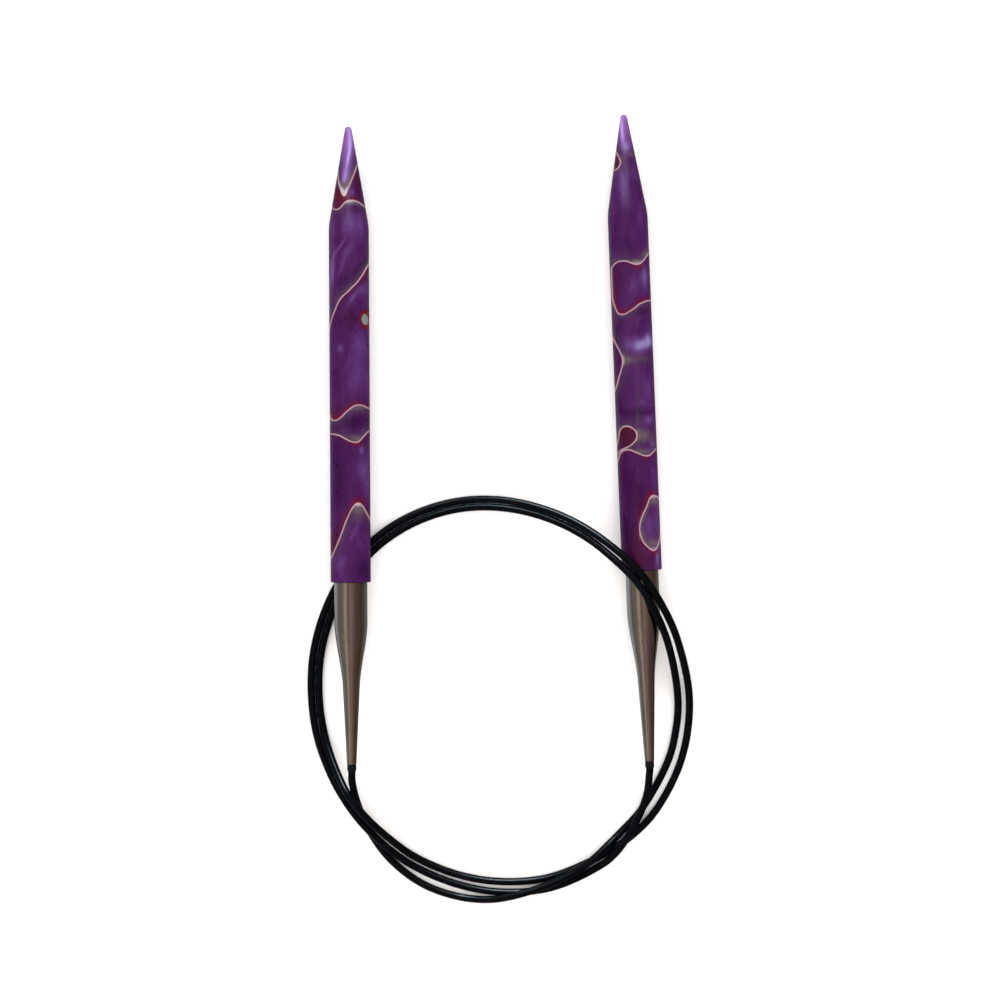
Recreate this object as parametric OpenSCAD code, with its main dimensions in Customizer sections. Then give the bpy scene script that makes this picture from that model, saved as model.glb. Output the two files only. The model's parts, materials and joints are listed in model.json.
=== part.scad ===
// Circular knitting needle: two pointed acrylic shafts in hollow steel ferrules, joined by one coiled cable.
// Each ferrule turns freely on a crimped stop at the end of the cable.
// The right needle lies flat, the cable crosses over it, and the left needle rests on the cable.

/* [Needle shafts] */
// Length of the acrylic, from the point to the ferrule
shaft_length = 91.2; // [60:0.1:140]
// Needle size, the diameter that forms the stitches
shaft_diameter = 8; // [5:0.5:12]
// Widening of the conical point, as radius gained per millimetre
point_slope = 0.17; // [0.1:0.01:0.3]
// Radius of the blunt nose
nose_radius = 0.7; // [0.3:0.05:1.2]
// Radius of the soft shoulder where the cone meets the shaft
shoulder_radius = 15; // [5:1:40]
// Rounding of the acrylic's rear edge
rear_rounding = 0.3; // [0.1:0.05:0.6]
// Diameter of the turned tenon that is glued into the ferrule
tenon_diameter = 5.3; // [4:0.1:6]
// Length of the tenon
tenon_length = 7.8; // [5:0.1:9]

/* [Ferrules] */
// Length of the left ferrule
left_ferrule_length = 36.2; // [30:0.1:45]
// Length of the right ferrule
right_ferrule_length = 38.2; // [30:0.1:45]
// Diameter of the straight front part
ferrule_diameter = 6.6; // [5.8:0.1:7.4]
// Diameter at the mouth
mouth_diameter = 1.9; // [1.8:0.05:2.4]
// Share of the length that stays straight
straight_share = 0.23; // [0.1:0.01:0.3]
// Share of the length where the slim tail starts
tail_share = 0.58; // [0.4:0.01:0.65]
// Widening of the slim tail, as radius gained over the whole length
tail_widening = 1.76; // [1.2:0.01:2]
// Sheet thickness
ferrule_wall = 0.5; // [0.4:0.05:0.6]
// Depth of the socket for the tenon
socket_depth = 8; // [6:0.1:10]
// Length of the narrow bore that the cable leaves through
throat_length = 10; // [6:0.5:12]
// Gap between the tenon and its socket
glue_gap = 0.03; // [0.02:0.01:0.06]

/* [Cable] */
// Cable diameter
cable_diameter = 1.5; // [1.2:0.1:2]
// Sides of the cable's section
cable_sides = 8; // [6:2:12]
// Largest turn of the coil between two sections, in degrees
ring_turn = 13; // [10:1:20]

/* [Cable ends] */
// Diameter of the crimped stop inside the ferrule
stop_diameter = 2.24; // [2:0.02:2.4]
// Length of the stop
stop_length = 5; // [3:0.5:7]
// Depth that the cable reaches into the stop
stop_grip = 3; // [2:0.5:4]
// Diameter of the black sleeve outside the mouth
sleeve_diameter = 1.84; // [1.7:0.02:2]
// Length of the sleeve
sleeve_length = 1.4; // [1:0.1:3]
// Radial running gap of the ferrule on the cable and on the stop
swivel_gap = 0.07; // [0.04:0.01:0.1]

/* [Layout] */
// Centre of the left ferrule's mouth, across and along
left_mouth_place = [-28.5, -64.8];
// Lean of the left needle towards the left, in degrees
left_lean = 0.4; // [-5:0.1:5]
// Rise of the left needle towards its ferrule, in degrees
left_rise = 1.35; // [0:0.05:3]
// Centre of the right ferrule's mouth, across and along
right_mouth_place = [30.9, -64.4];
// Lean of the right needle towards the left, in degrees
right_lean = 2.3; // [-5:0.1:5]
// Middle of the coil, across and along
coil_middle = [1, -52.5];

/* [Hidden] */
shaft_radius = shaft_diameter / 2;
ferrule_radius = ferrule_diameter / 2;
mouth_radius = mouth_diameter / 2;
cable_radius = cable_diameter / 2;
socket_radius = tenon_diameter / 2 + glue_gap;
throat_radius = cable_radius + swivel_gap;
chamber_radius = stop_diameter / 2 + swivel_gap;
cable_fit = 0.02;
face_gap = 0.05;
tenon_chamfer = 0.3;
ferrule_edge = 0.12;
stop_edge = 0.1;
stop_nose = 0.3;
sleeve_edge = 0.05;
sleeve_taper = 0.45;
sleeve_lip = 0.03;
profile_steps = 28;
arc_steps = 8;
$fn = 96;

point_angle = atan(point_slope);
nose_end = nose_radius * (1 - sin(point_angle));
cone_base = (shaft_radius - nose_radius * cos(point_angle)) / point_slope + nose_end;
shoulder_half = shoulder_radius * tan(point_angle / 2);
point_length = cone_base + shoulder_half;

left_length = left_ferrule_length + shaft_length;
left_mouth_height = shaft_radius + (left_length - point_length) * sin(left_rise);
left_mouth = [left_mouth_place[0], left_mouth_place[1], left_mouth_height];
right_mouth = [right_mouth_place[0], right_mouth_place[1], shaft_radius];

// Free cable from the left needle to the right: turn round the coil's middle in degrees,
// counted on from lap to lap, distance from the middle, and height of the cable's centre.
route = [
  [208, 33.4, 5.8], [214, 34.8, 3.5], [220, 36.1, 1.4], [227, 37.5, 0.75],
  [236, 38.95, 0.75], [247, 40.1, 0.75], [258, 40.4, 0.75], [267, 40.0, 1.7],
  [274, 39.2, 2.4], [284, 38.2, 2.5], [293, 37.5, 2.5], [300, 36.9, 2.5],
  [306, 36.3, 1.9], [312, 36.0, 1.0], [322, 35.95, 0.75], [340, 35.95, 0.75],
  // first lap, the inner one
  [360, 35.8, 1.2], [378, 35.5, 4.9], [390, 35.7, 7.8], [400, 36.2, 8.3],
  [410, 36.4, 7.7], [436, 37.9, 3.6], [462, 39.4, 0.9], [488, 39.55, 0.75],
  [514, 37.95, 0.75], [540, 36.35, 0.75], [552, 35.95, 1.0], [564, 35.6, 3.6],
  [572, 35.5, 5.6], [581, 35.3, 5.1], [592, 35.4, 2.9], [602, 35.8, 1.3],
  [616, 36.1, 0.75], [630, 36.5, 0.75], [645, 37.0, 0.75], [660, 37.2, 0.75],
  [666, 37.4, 0.75], [673, 37.95, 0.75], [684, 38.4, 0.75], [702, 38.4, 0.75],
  // second lap, the outer one
  [720, 38.1, 1.2], [738, 37.55, 4.0], [750, 37.55, 7.2], [763, 38.0, 8.9],
  [774, 38.15, 8.3], [796, 39.4, 4.4], [822, 40.95, 0.9], [848, 41.1, 0.75],
  [874, 39.5, 0.75], [900, 37.9, 0.75], [912, 37.5, 0.75], [924, 37.15, 1.2],
  [933, 36.9, 3.0], [942, 36.9, 3.2], [952, 37.1, 2.2], [962, 37.6, 0.9],
  [976, 38.0, 0.75], [990, 38.6, 0.75], [1005, 39.1, 0.75], [1020, 38.9, 0.9],
  [1026, 38.5, 2.1], [1032, 37.6, 2.5], [1041, 36.1, 2.5], [1048, 34.8, 2.8],
  [1053, 33.5, 3.4]
];

cable();
left_shaft();
right_shaft();
left_ferrule();
right_ferrule();
left_cable_stop();
right_cable_stop();
left_cable_sleeve();
right_cable_sleeve();

// Direction from a mouth to its point
function needle_direction(lean, rise) = [
  -sin(lean) * cos(rise),
  cos(lean) * cos(rise),
  -sin(rise)
];

// A needle is drawn upright with its mouth at the origin and its point upwards, then laid down here.
module at_left() {
  translate(left_mouth)
    rotate([0, 0, left_lean])
      rotate([-90 - left_rise, 0, 0])
        children();
}

module at_right() {
  translate(right_mouth)
    rotate([0, 0, right_lean])
      rotate([-90, 0, 0])
        children();
}

// Outline of a shaft as [radius, distance behind the tip]
function nose_arc() = [
  for (i = [0 : arc_steps])
    let (a = i / arc_steps * (90 - point_angle))
    [nose_radius * sin(a), nose_radius * (1 - cos(a))]
];

function shoulder_arc() = [
  for (i = [0 : arc_steps])
    let (a = point_angle * (1 - i / arc_steps))
    [
      shaft_radius - shoulder_radius * (1 - cos(a)),
      point_length - shoulder_radius * sin(a)
    ]
];

function rear_arc() = [
  for (i = [0 : arc_steps])
    let (a = i / arc_steps * 90)
    [
      shaft_radius - rear_rounding * (1 - cos(a)),
      shaft_length - rear_rounding * (1 - sin(a))
    ]
];

module shaft(ferrule_length) {
  tenon_radius = tenon_diameter / 2;
  end = shaft_length + tenon_length;
  outline = concat(
    nose_arc(),
    shoulder_arc(),
    rear_arc(),
    [
      [tenon_radius, shaft_length],
      [tenon_radius, end - tenon_chamfer],
      [tenon_radius - tenon_chamfer, end],
      [0, end]
    ]
  );
  translate([0, 0, ferrule_length + shaft_length])
    mirror([0, 0, 1])
      rotate_extrude()
        polygon(outline);
}

// Outer radius of a ferrule at a share of its length, 0 at the acrylic and 1 at the mouth
function tail_radius(share) = mouth_radius + tail_widening * (1 - share);
function swell(share) =
  (1 + cos(180 * min(1, (share - straight_share) / (tail_share - straight_share)))) / 2;
function skin_radius(share) =
  share <= straight_share
    ? ferrule_radius
    : tail_radius(share) + (ferrule_radius - tail_radius(straight_share)) * swell(share);

function share_at(i) = straight_share + (1 - straight_share) * i / profile_steps;

// Radius of the hollow behind the socket, never narrower than the chamber that the stop turns in
function hollow_radius(share) =
  max(chamber_radius, min(socket_radius, skin_radius(share) - ferrule_wall));

module ferrule(long) {
  throat_share = 1 - throat_length / long;
  outside = concat(
    [[ferrule_radius - ferrule_edge, long], [ferrule_radius, long - ferrule_edge]],
    [for (i = [0 : profile_steps - 1]) [skin_radius(share_at(i)), long * (1 - share_at(i))]],
    [[mouth_radius, ferrule_edge / 2], [mouth_radius - ferrule_edge / 2, 0]]
  );
  inside = concat(
    [[throat_radius, 0], [throat_radius, throat_length], [chamber_radius, throat_length]],
    [
      for (i = [profile_steps : -1 : 0])
        let (share = socket_depth / long + (throat_share - socket_depth / long) * i / profile_steps)
        if (share < throat_share && share > socket_depth / long)
          [hollow_radius(share), long * (1 - share)]
    ],
    [[socket_radius, long - socket_depth], [socket_radius, long]]
  );
  rotate_extrude()
    polygon(concat(outside, inside));
}

module cable_stop() {
  r = stop_diameter / 2;
  low = throat_length + face_gap;
  top = low + stop_length;
  floor_at = low + stop_grip;
  bore = cable_radius + cable_fit;
  rotate_extrude()
    polygon([
      [bore, low], [r - stop_edge, low], [r, low + stop_edge],
      [r, top - stop_nose], [r - stop_nose, top], [0, top],
      [0, floor_at], [bore, floor_at]
    ]);
}

module cable_sleeve() {
  r = sleeve_diameter / 2;
  bore = cable_radius + cable_fit;
  top = -face_gap;
  low = top - sleeve_length;
  rotate_extrude()
    polygon([
      [bore, top], [r - sleeve_edge, top], [r, top - sleeve_edge],
      [r, low + sleeve_taper], [bore + sleeve_lip, low], [bore, low]
    ]);
}

// Smooth value between two points of the route, k = 1 for the distance and 2 for the height
function route_slope(i, k) =
  let (a = max(i - 1, 0), b = min(i + 1, len(route) - 1))
  (route[b][k] - route[a][k]) / (route[b][0] - route[a][0]);

function route_value(i, t, k) =
  let (w = route[i + 1][0] - route[i][0])
  (2 * t ^ 3 - 3 * t ^ 2 + 1) * route[i][k]
  + (t ^ 3 - 2 * t ^ 2 + t) * w * route_slope(i, k)
  + (3 * t ^ 2 - 2 * t ^ 3) * route[i + 1][k]
  + (t ^ 3 - t ^ 2) * w * route_slope(i + 1, k);

function route_point(i, t) =
  let (a = route[i][0] + t * (route[i + 1][0] - route[i][0]), r = route_value(i, t, 1))
  [
    coil_middle[0] + r * cos(a),
    coil_middle[1] + r * sin(a),
    max(cable_radius, route_value(i, t, 2))
  ];

function span_steps(i) = max(1, round((route[i + 1][0] - route[i][0]) / ring_turn));

function route_points() = [
  for (i = [0 : len(route) - 2])
    for (k = [0 : span_steps(i) - 1])
      route_point(i, k / span_steps(i))
];

// The straight ends run through the sleeve and the throat to the floor of the stop.
function cable_line() =
  let (
    left = needle_direction(left_lean, left_rise),
    right = needle_direction(right_lean, 0),
    inner = throat_length + face_gap + stop_grip,
    outer = face_gap + sleeve_length
  )
  concat(
    [left_mouth + inner * left, left_mouth - outer * left],
    route_points(),
    [route_point(len(route) - 2, 1)],
    [right_mouth - outer * right, right_mouth + inner * right]
  );

function unit(v) = v / norm(v);

function heading(line, i) =
  i == 0 ? unit(line[1] - line[0])
  : i == len(line) - 1 ? unit(line[i] - line[i - 1])
  : unit(unit(line[i + 1] - line[i]) + unit(line[i] - line[i - 1]));

function ring(line, i) =
  let (
    ahead = heading(line, i),
    side = unit([ahead[1], -ahead[0], 0]),
    up = cross(side, ahead)
  )
  [
    for (k = [0 : cable_sides - 1])
      let (a = 360 * (k + 0.5) / cable_sides)
      line[i] + cable_radius * (cos(a) * side + sin(a) * up)
  ];

function next(k) = (k + 1) % cable_sides;

module cable_tube() {
  line = cable_line();
  n = cable_sides;
  last = (len(line) - 1) * n;
  points = [for (i = [0 : len(line) - 1]) each ring(line, i)];
  walls = [
    for (i = [0 : len(line) - 2])
      for (k = [0 : n - 1])
        each [
          [i * n + k, (i + 1) * n + k, (i + 1) * n + next(k)],
          [i * n + k, (i + 1) * n + next(k), i * n + next(k)]
        ]
  ];
  ends = [
    [for (k = [0 : n - 1]) k],
    [for (k = [n - 1 : -1 : 0]) last + k]
  ];
  polyhedron(points, concat(walls, ends));
}

module cable() {
  color([0.05, 0.05, 0.06])
    cable_tube();
}

module left_shaft() {
  color([0.45, 0.28, 0.5])
    at_left() shaft(left_ferrule_length);
}

module right_shaft() {
  color([0.45, 0.28, 0.5])
    at_right() shaft(right_ferrule_length);
}

module left_ferrule() {
  color([0.62, 0.58, 0.56])
    at_left() ferrule(left_ferrule_length);
}

module right_ferrule() {
  color([0.62, 0.58, 0.56])
    at_right() ferrule(right_ferrule_length);
}

module left_cable_stop() {
  color([0.72, 0.72, 0.7])
    at_left() cable_stop();
}

module right_cable_stop() {
  color([0.72, 0.72, 0.7])
    at_right() cable_stop();
}

module left_cable_sleeve() {
  color([0.08, 0.08, 0.09])
    at_left() cable_sleeve();
}

module right_cable_sleeve() {
  color([0.08, 0.08, 0.09])
    at_right() cable_sleeve();
}
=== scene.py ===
"""Looks of the circular knitting needle: marbled shafts, steel ferrules and the coiled black cable."""

import json
import math

import bpy
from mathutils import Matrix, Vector


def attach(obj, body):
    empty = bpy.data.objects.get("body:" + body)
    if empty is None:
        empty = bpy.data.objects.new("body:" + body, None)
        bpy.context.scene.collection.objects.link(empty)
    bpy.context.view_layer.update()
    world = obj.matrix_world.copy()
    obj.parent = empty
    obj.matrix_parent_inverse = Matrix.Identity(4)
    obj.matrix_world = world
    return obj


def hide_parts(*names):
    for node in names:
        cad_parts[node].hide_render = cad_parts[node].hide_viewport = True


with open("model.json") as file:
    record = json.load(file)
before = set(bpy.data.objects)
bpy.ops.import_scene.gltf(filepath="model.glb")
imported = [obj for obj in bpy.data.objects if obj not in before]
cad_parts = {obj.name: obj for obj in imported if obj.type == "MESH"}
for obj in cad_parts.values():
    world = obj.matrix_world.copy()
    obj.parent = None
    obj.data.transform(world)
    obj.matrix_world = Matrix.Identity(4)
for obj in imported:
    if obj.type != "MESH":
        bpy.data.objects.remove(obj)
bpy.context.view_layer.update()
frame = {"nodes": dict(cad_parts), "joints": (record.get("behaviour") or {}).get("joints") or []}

MM = 0.001

# Sizes shared with part.scad, in millimetres
SHAFT_LENGTH = 91.2
SHAFT_RADIUS = 4.0
POINT_SLOPE = 0.17
NOSE_RADIUS = 0.7
SHOULDER_RADIUS = 15.0
REAR_ROUNDING = 0.3
TENON_RADIUS = 2.65
TENON_LENGTH = 7.8
TENON_CHAMFER = 0.3
FERRULE_LENGTH = {"left": 36.2, "right": 38.2}
FERRULE_RADIUS = 3.3
MOUTH_RADIUS = 0.95
STRAIGHT_SHARE = 0.23
TAIL_SHARE = 0.58
TAIL_WIDENING = 1.76
FERRULE_WALL = 0.5
FERRULE_EDGE = 0.12
SOCKET_DEPTH = 8.0
SOCKET_RADIUS = 2.68
THROAT_LENGTH = 10.0
THROAT_RADIUS = 0.82
CHAMBER_RADIUS = 1.19
CABLE_RADIUS = 0.75
SLEEVE_RADIUS = 0.92
SLEEVE_LENGTH = 1.4
SLEEVE_BORE = 0.77
SLEEVE_LIP = 0.03
SLEEVE_ROUNDING = 0.08
SLEEVE_STRAIGHT = 0.85
SLEEVE_WAIST = 0.012
FACE_GAP = 0.05
STOP_GRIP = 3.0
# Degrees of the coil from one ring of the tube to the next, at most
RING_TURN = 13

# Middle of the coil and the free cable's route round it: turn in degrees, counted on from lap to lap,
# distance from the middle and height, in metres
COIL_MIDDLE = (0.001, -0.0525)
ROUTE = [
    (208, 0.0334, 0.0058), (214, 0.0348, 0.0035), (220, 0.0361, 0.0014), (227, 0.0375, 0.00075),
    (236, 0.03895, 0.00075), (247, 0.0401, 0.00075), (258, 0.0404, 0.00075), (267, 0.04, 0.0017),
    (274, 0.0392, 0.0024), (284, 0.0382, 0.0025), (293, 0.0375, 0.0025), (300, 0.0369, 0.0025),
    (306, 0.0363, 0.0019), (312, 0.036, 0.001), (322, 0.03595, 0.00075), (340, 0.03595, 0.00075),
    # first lap, the inner one
    (360, 0.0358, 0.0012), (378, 0.0355, 0.0049), (390, 0.0357, 0.0078), (400, 0.0362, 0.0083),
    (410, 0.0364, 0.0077), (436, 0.0379, 0.0036), (462, 0.0394, 0.0009), (488, 0.03955, 0.00075),
    (514, 0.03795, 0.00075), (540, 0.03635, 0.00075), (552, 0.03595, 0.001), (564, 0.0356, 0.0036),
    (572, 0.0355, 0.0056), (581, 0.0353, 0.0051), (592, 0.0354, 0.0029), (602, 0.0358, 0.0013),
    (616, 0.0361, 0.00075), (630, 0.0365, 0.00075), (645, 0.037, 0.00075), (660, 0.0372, 0.00075),
    (666, 0.0374, 0.00075), (673, 0.03795, 0.00075), (684, 0.0384, 0.00075), (702, 0.0384, 0.00075),
    # second lap, the outer one
    (720, 0.0381, 0.0012), (738, 0.03755, 0.004), (750, 0.03755, 0.0072), (763, 0.038, 0.0089),
    (774, 0.03815, 0.0083), (796, 0.0394, 0.0044), (822, 0.04095, 0.0009), (848, 0.0411, 0.00075),
    (874, 0.0395, 0.00075), (900, 0.0379, 0.00075), (912, 0.0375, 0.00075), (924, 0.03715, 0.0012),
    (933, 0.0369, 0.003), (942, 0.0369, 0.0032), (952, 0.0371, 0.0022), (962, 0.0376, 0.0009),
    (976, 0.038, 0.00075), (990, 0.0386, 0.00075), (1005, 0.0391, 0.00075), (1020, 0.0389, 0.0009),
    (1026, 0.0385, 0.0021), (1032, 0.0376, 0.0025), (1041, 0.0361, 0.0025), (1048, 0.0348, 0.0028),
    (1053, 0.0335, 0.0034),
]


# ---------------------------------------------------------------- camera

# The camera looks straight down, with the points at the top of the picture.
LENS_MM = 90
SENSOR_MM = 36
VIEW_WIDTH = 0.200
VIEW_MIDDLE = (0.001, -0.0122)


def make_camera():
    data = bpy.data.cameras.new("camera")
    data.lens = LENS_MM
    data.sensor_width = SENSOR_MM
    camera = bpy.data.objects.new("camera", data)
    distance = VIEW_WIDTH * LENS_MM / SENSOR_MM
    camera.location = (*VIEW_MIDDLE, SHAFT_RADIUS * MM + distance)
    bpy.context.scene.collection.objects.link(camera)
    bpy.context.scene.camera = camera


make_camera()


# ---------------------------------------------------------------- needle axes

class Needle:
    """One needle's place: its mouth, the way its point lies, and the two directions across it."""

    def __init__(self, side):
        joint = next(j for j in frame["joints"] if j["name"] == f"{side}_swivel")
        self.side = side
        self.body = joint["child"]
        self.mouth = Vector(joint["pos_m"])
        self.ahead = Vector(joint["axis"]).normalized()
        self.across = self.ahead.cross(Vector((0, 0, 1))).normalized()
        self.up = self.across.cross(self.ahead)
        self.ferrule_length = FERRULE_LENGTH[side]
        self.length = self.ferrule_length + SHAFT_LENGTH

    def at(self, across, up, along):
        """The point of the row frame at these millimetres from the mouth."""
        return self.mouth + (self.across * across + self.up * up + self.ahead * along) * MM


NEEDLES = {side: Needle(side) for side in ("left", "right")}


# ---------------------------------------------------------------- meshes

# Edges that turn by more than this many degrees are drawn sharp.
SHARP_TURN = 32


def new_piece(name, points, faces, places, body):
    """A mesh piece whose 'place' attribute holds each point in the piece's own straight millimetres."""
    mesh = bpy.data.meshes.new(name)
    mesh.from_pydata(points, [], faces)
    attribute = mesh.attributes.new("place", "FLOAT_VECTOR", "POINT")
    attribute.data.foreach_set("vector", [value for place in places for value in place])
    mesh.shade_smooth()
    mesh.set_sharp_from_angle(angle=math.radians(SHARP_TURN))
    piece = bpy.data.objects.new(name, mesh)
    bpy.context.scene.collection.objects.link(piece)
    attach(piece, body)
    return piece


def lathe(name, outline, needle, body, sides):
    """Turns an outline of (radius, distance from the mouth) about a needle's axis.

    An outline that starts and ends on the axis makes a solid, and any other is closed into a hollow ring.
    """
    points, places, rings = [], [], []
    for radius, along in outline:
        if radius == 0:
            rings.append([len(points)])
            points.append(needle.at(0, 0, along))
            places.append((0, 0, along))
            continue
        ring = []
        for k in range(sides):
            angle = math.tau * k / sides
            across, up = radius * math.sin(angle), radius * math.cos(angle)
            ring.append(len(points))
            points.append(needle.at(across, up, along))
            places.append((across, up, along))
        rings.append(ring)
    pairs = list(zip(rings, rings[1:]))
    if len(rings[0]) > 1:
        pairs.append((rings[-1], rings[0]))
    faces = []
    for a, b in pairs:
        for k in range(sides):
            n = (k + 1) % sides
            corners = [a[k % len(a)], a[n % len(a)], b[n % len(b)], b[k % len(b)]]
            faces.append([c for i, c in enumerate(corners) if c not in corners[:i]])
    return new_piece(name, points, faces, places, body)


def tube(name, line, radius, body, sides=20):
    """A round tube along a line of points in the row frame."""
    points, places, faces = [], [], []
    along = 0.0
    for i, p in enumerate(line):
        before, after = line[max(i - 1, 0)], line[min(i + 1, len(line) - 1)]
        ahead = (after - before).normalized()
        across = ahead.cross(Vector((0, 0, 1))).normalized()
        up = across.cross(ahead)
        along += (p - line[max(i - 1, 0)]).length
        for k in range(sides):
            angle = math.tau * k / sides
            offset = (across * math.sin(angle) + up * math.cos(angle)) * radius
            points.append(p + offset)
            places.append((radius * math.sin(angle) / MM, radius * math.cos(angle) / MM, along / MM))
    for i in range(len(line) - 1):
        for k in range(sides):
            n = (k + 1) % sides
            faces.append([i * sides + k, i * sides + n, (i + 1) * sides + n, (i + 1) * sides + k])
    faces.append(list(range(sides - 1, -1, -1)))
    faces.append([(len(line) - 1) * sides + k for k in range(sides)])
    return new_piece(name, points, faces, places, body)


def arc(steps, start, end):
    """Evenly spaced values from start to end, both of them included."""
    return [start + (end - start) * i / steps for i in range(steps + 1)]


# ---------------------------------------------------------------- cable

def route_value(i, t, k):
    """Smooth value between two points of the route, k = 1 for the distance and 2 for the height."""
    def slope(j):
        a, b = ROUTE[max(j - 1, 0)], ROUTE[min(j + 1, len(ROUTE) - 1)]
        return (b[k] - a[k]) / (b[0] - a[0])
    width = ROUTE[i + 1][0] - ROUTE[i][0]
    return (
        (2 * t**3 - 3 * t**2 + 1) * ROUTE[i][k]
        + (t**3 - 2 * t**2 + t) * width * slope(i)
        + (3 * t**2 - 2 * t**3) * ROUTE[i + 1][k]
        + (t**3 - t**2) * width * slope(i + 1)
    )


def route_point(i, t):
    """The cable's middle at a share t of the way from route point i to the next."""
    angle = math.radians(ROUTE[i][0] + t * (ROUTE[i + 1][0] - ROUTE[i][0]))
    distance = route_value(i, t, 1)
    height = max(CABLE_RADIUS * MM, route_value(i, t, 2))
    return Vector((
        COIL_MIDDLE[0] + distance * math.cos(angle),
        COIL_MIDDLE[1] + distance * math.sin(angle),
        height,
    ))


def cable_line():
    """The cable's stations: straight out of each ferrule, and round the coil between."""
    inner = THROAT_LENGTH + FACE_GAP + STOP_GRIP
    outer = -FACE_GAP - SLEEVE_LENGTH
    left, right = NEEDLES["left"], NEEDLES["right"]
    line = [left.at(0, 0, inner), left.at(0, 0, inner / 2), left.at(0, 0, 0), left.at(0, 0, outer)]
    for i in range(len(ROUTE) - 1):
        steps = max(1, round((ROUTE[i + 1][0] - ROUTE[i][0]) / RING_TURN))
        line += [route_point(i, k / steps) for k in range(steps)]
    line.append(route_point(len(ROUTE) - 2, 1))
    line += [right.at(0, 0, outer), right.at(0, 0, 0), right.at(0, 0, inner / 2), right.at(0, 0, inner)]
    return line


def smooth_line(line, steps=8):
    """A smooth curve through the stations, with its speed following their spacing."""
    def knot(a, b):
        return max((b - a).length, 1e-6) ** 0.5
    curve = []
    for i in range(len(line) - 1):
        p1, p2 = line[i], line[i + 1]
        p0 = line[i - 1] if i > 0 else p1 * 2 - p2
        p3 = line[i + 2] if i + 2 < len(line) else p2 * 2 - p1
        t1 = knot(p0, p1)
        t2 = t1 + knot(p1, p2)
        t3 = t2 + knot(p2, p3)
        for k in range(steps):
            t = t1 + (t2 - t1) * k / steps
            a1 = p0 * ((t1 - t) / t1) + p1 * (t / t1)
            a2 = p1 * ((t2 - t) / (t2 - t1)) + p2 * ((t - t1) / (t2 - t1))
            a3 = p2 * ((t3 - t) / (t3 - t2)) + p3 * ((t - t2) / (t3 - t2))
            b1 = a1 * ((t2 - t) / t2) + a2 * (t / t2)
            b2 = a2 * ((t3 - t) / (t3 - t1)) + a3 * ((t - t1) / (t3 - t1))
            curve.append(b1 * ((t2 - t) / (t2 - t1)) + b2 * ((t - t1) / (t2 - t1)))
    curve.append(line[-1])
    for point in curve:
        point.z = max(point.z, CABLE_RADIUS * MM)
    return curve


def make_cable():
    line = smooth_line(cable_line())
    cable = tube("cable_cord", line, CABLE_RADIUS * MM, "cable_assembly")
    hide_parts("cable")
    cable.data.materials.append(cable_nylon())
    sleeves = [make_sleeve(needle) for needle in NEEDLES.values()]


def make_sleeve(needle):
    """The black shrunk sleeve at a mouth: a soft front edge, a faint waist and a feathered end."""
    front = -FACE_GAP
    rear = front - SLEEVE_LENGTH
    straight_front = front - SLEEVE_ROUNDING
    straight_rear = straight_front - SLEEVE_STRAIGHT
    lip = SLEEVE_BORE + SLEEVE_LIP
    outline = [(SLEEVE_BORE, front)]
    outline += [
        (SLEEVE_RADIUS - SLEEVE_ROUNDING * (1 - math.sin(a)), front - SLEEVE_ROUNDING * (1 - math.cos(a)))
        for a in arc(6, 0, math.pi / 2)
    ]
    outline += [
        (SLEEVE_RADIUS - SLEEVE_WAIST * math.sin(math.pi * t), straight_front - SLEEVE_STRAIGHT * t)
        for t in arc(8, 0, 1)[1:]
    ]
    outline += [
        (
            lip + (SLEEVE_RADIUS - lip) * (1 + math.cos(math.pi * t)) / 2,
            straight_rear + (rear - straight_rear) * t,
        )
        for t in arc(8, 0, 1)[1:]
    ]
    outline.append((SLEEVE_BORE, rear))
    piece = lathe(f"{needle.side}_sleeve", outline, needle, "cable_assembly", sides=48)
    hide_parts(f"{needle.side}_cable_sleeve")
    piece.data.materials.append(sleeve_rubber())
    return piece


# ---------------------------------------------------------------- shafts

def shaft_outline(needle):
    """From the nose over the cone and shoulder to the rear edge, and on round the tenon."""
    slant = math.atan(POINT_SLOPE)
    nose_end = NOSE_RADIUS * (1 - math.sin(slant))
    cone_base = (SHAFT_RADIUS - NOSE_RADIUS * math.cos(slant)) / POINT_SLOPE + nose_end
    point_length = cone_base + SHOULDER_RADIUS * math.tan(slant / 2)
    behind_tip = [(0, 0)]
    behind_tip += [
        (NOSE_RADIUS * math.sin(a), NOSE_RADIUS * (1 - math.cos(a)))
        for a in arc(12, 0, math.pi / 2 - slant)[1:]
    ]
    shoulder = [
        (SHAFT_RADIUS - SHOULDER_RADIUS * (1 - math.cos(a)), point_length - SHOULDER_RADIUS * math.sin(a))
        for a in arc(10, slant, 0)
    ]
    behind_tip += between(behind_tip[-1], shoulder[0], 12) + shoulder
    rear = [
        (SHAFT_RADIUS - REAR_ROUNDING * (1 - math.cos(a)), SHAFT_LENGTH - REAR_ROUNDING * (1 - math.sin(a)))
        for a in arc(8, 0, math.pi / 2)
    ]
    behind_tip += between(shoulder[-1], rear[0], 60) + rear
    tenon_end = SHAFT_LENGTH + TENON_LENGTH
    behind_tip += [
        (TENON_RADIUS, SHAFT_LENGTH), (TENON_RADIUS, tenon_end - TENON_CHAMFER),
        (TENON_RADIUS - TENON_CHAMFER, tenon_end), (0, tenon_end),
    ]
    return [(radius, needle.length - behind) for radius, behind in behind_tip]


def between(a, b, steps):
    """The points inside a straight stretch of an outline."""
    return [
        (a[0] + (b[0] - a[0]) * i / steps, a[1] + (b[1] - a[1]) * i / steps)
        for i in range(1, steps)
    ]


def make_shaft(needle, marbling):
    piece = lathe(f"{needle.side}_marbled_shaft", shaft_outline(needle), needle, needle.body, sides=128)
    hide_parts(f"{needle.side}_shaft")
    piece.data.materials.append(marbled_acrylic(needle, marbling))


# ---------------------------------------------------------------- ferrules

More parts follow.
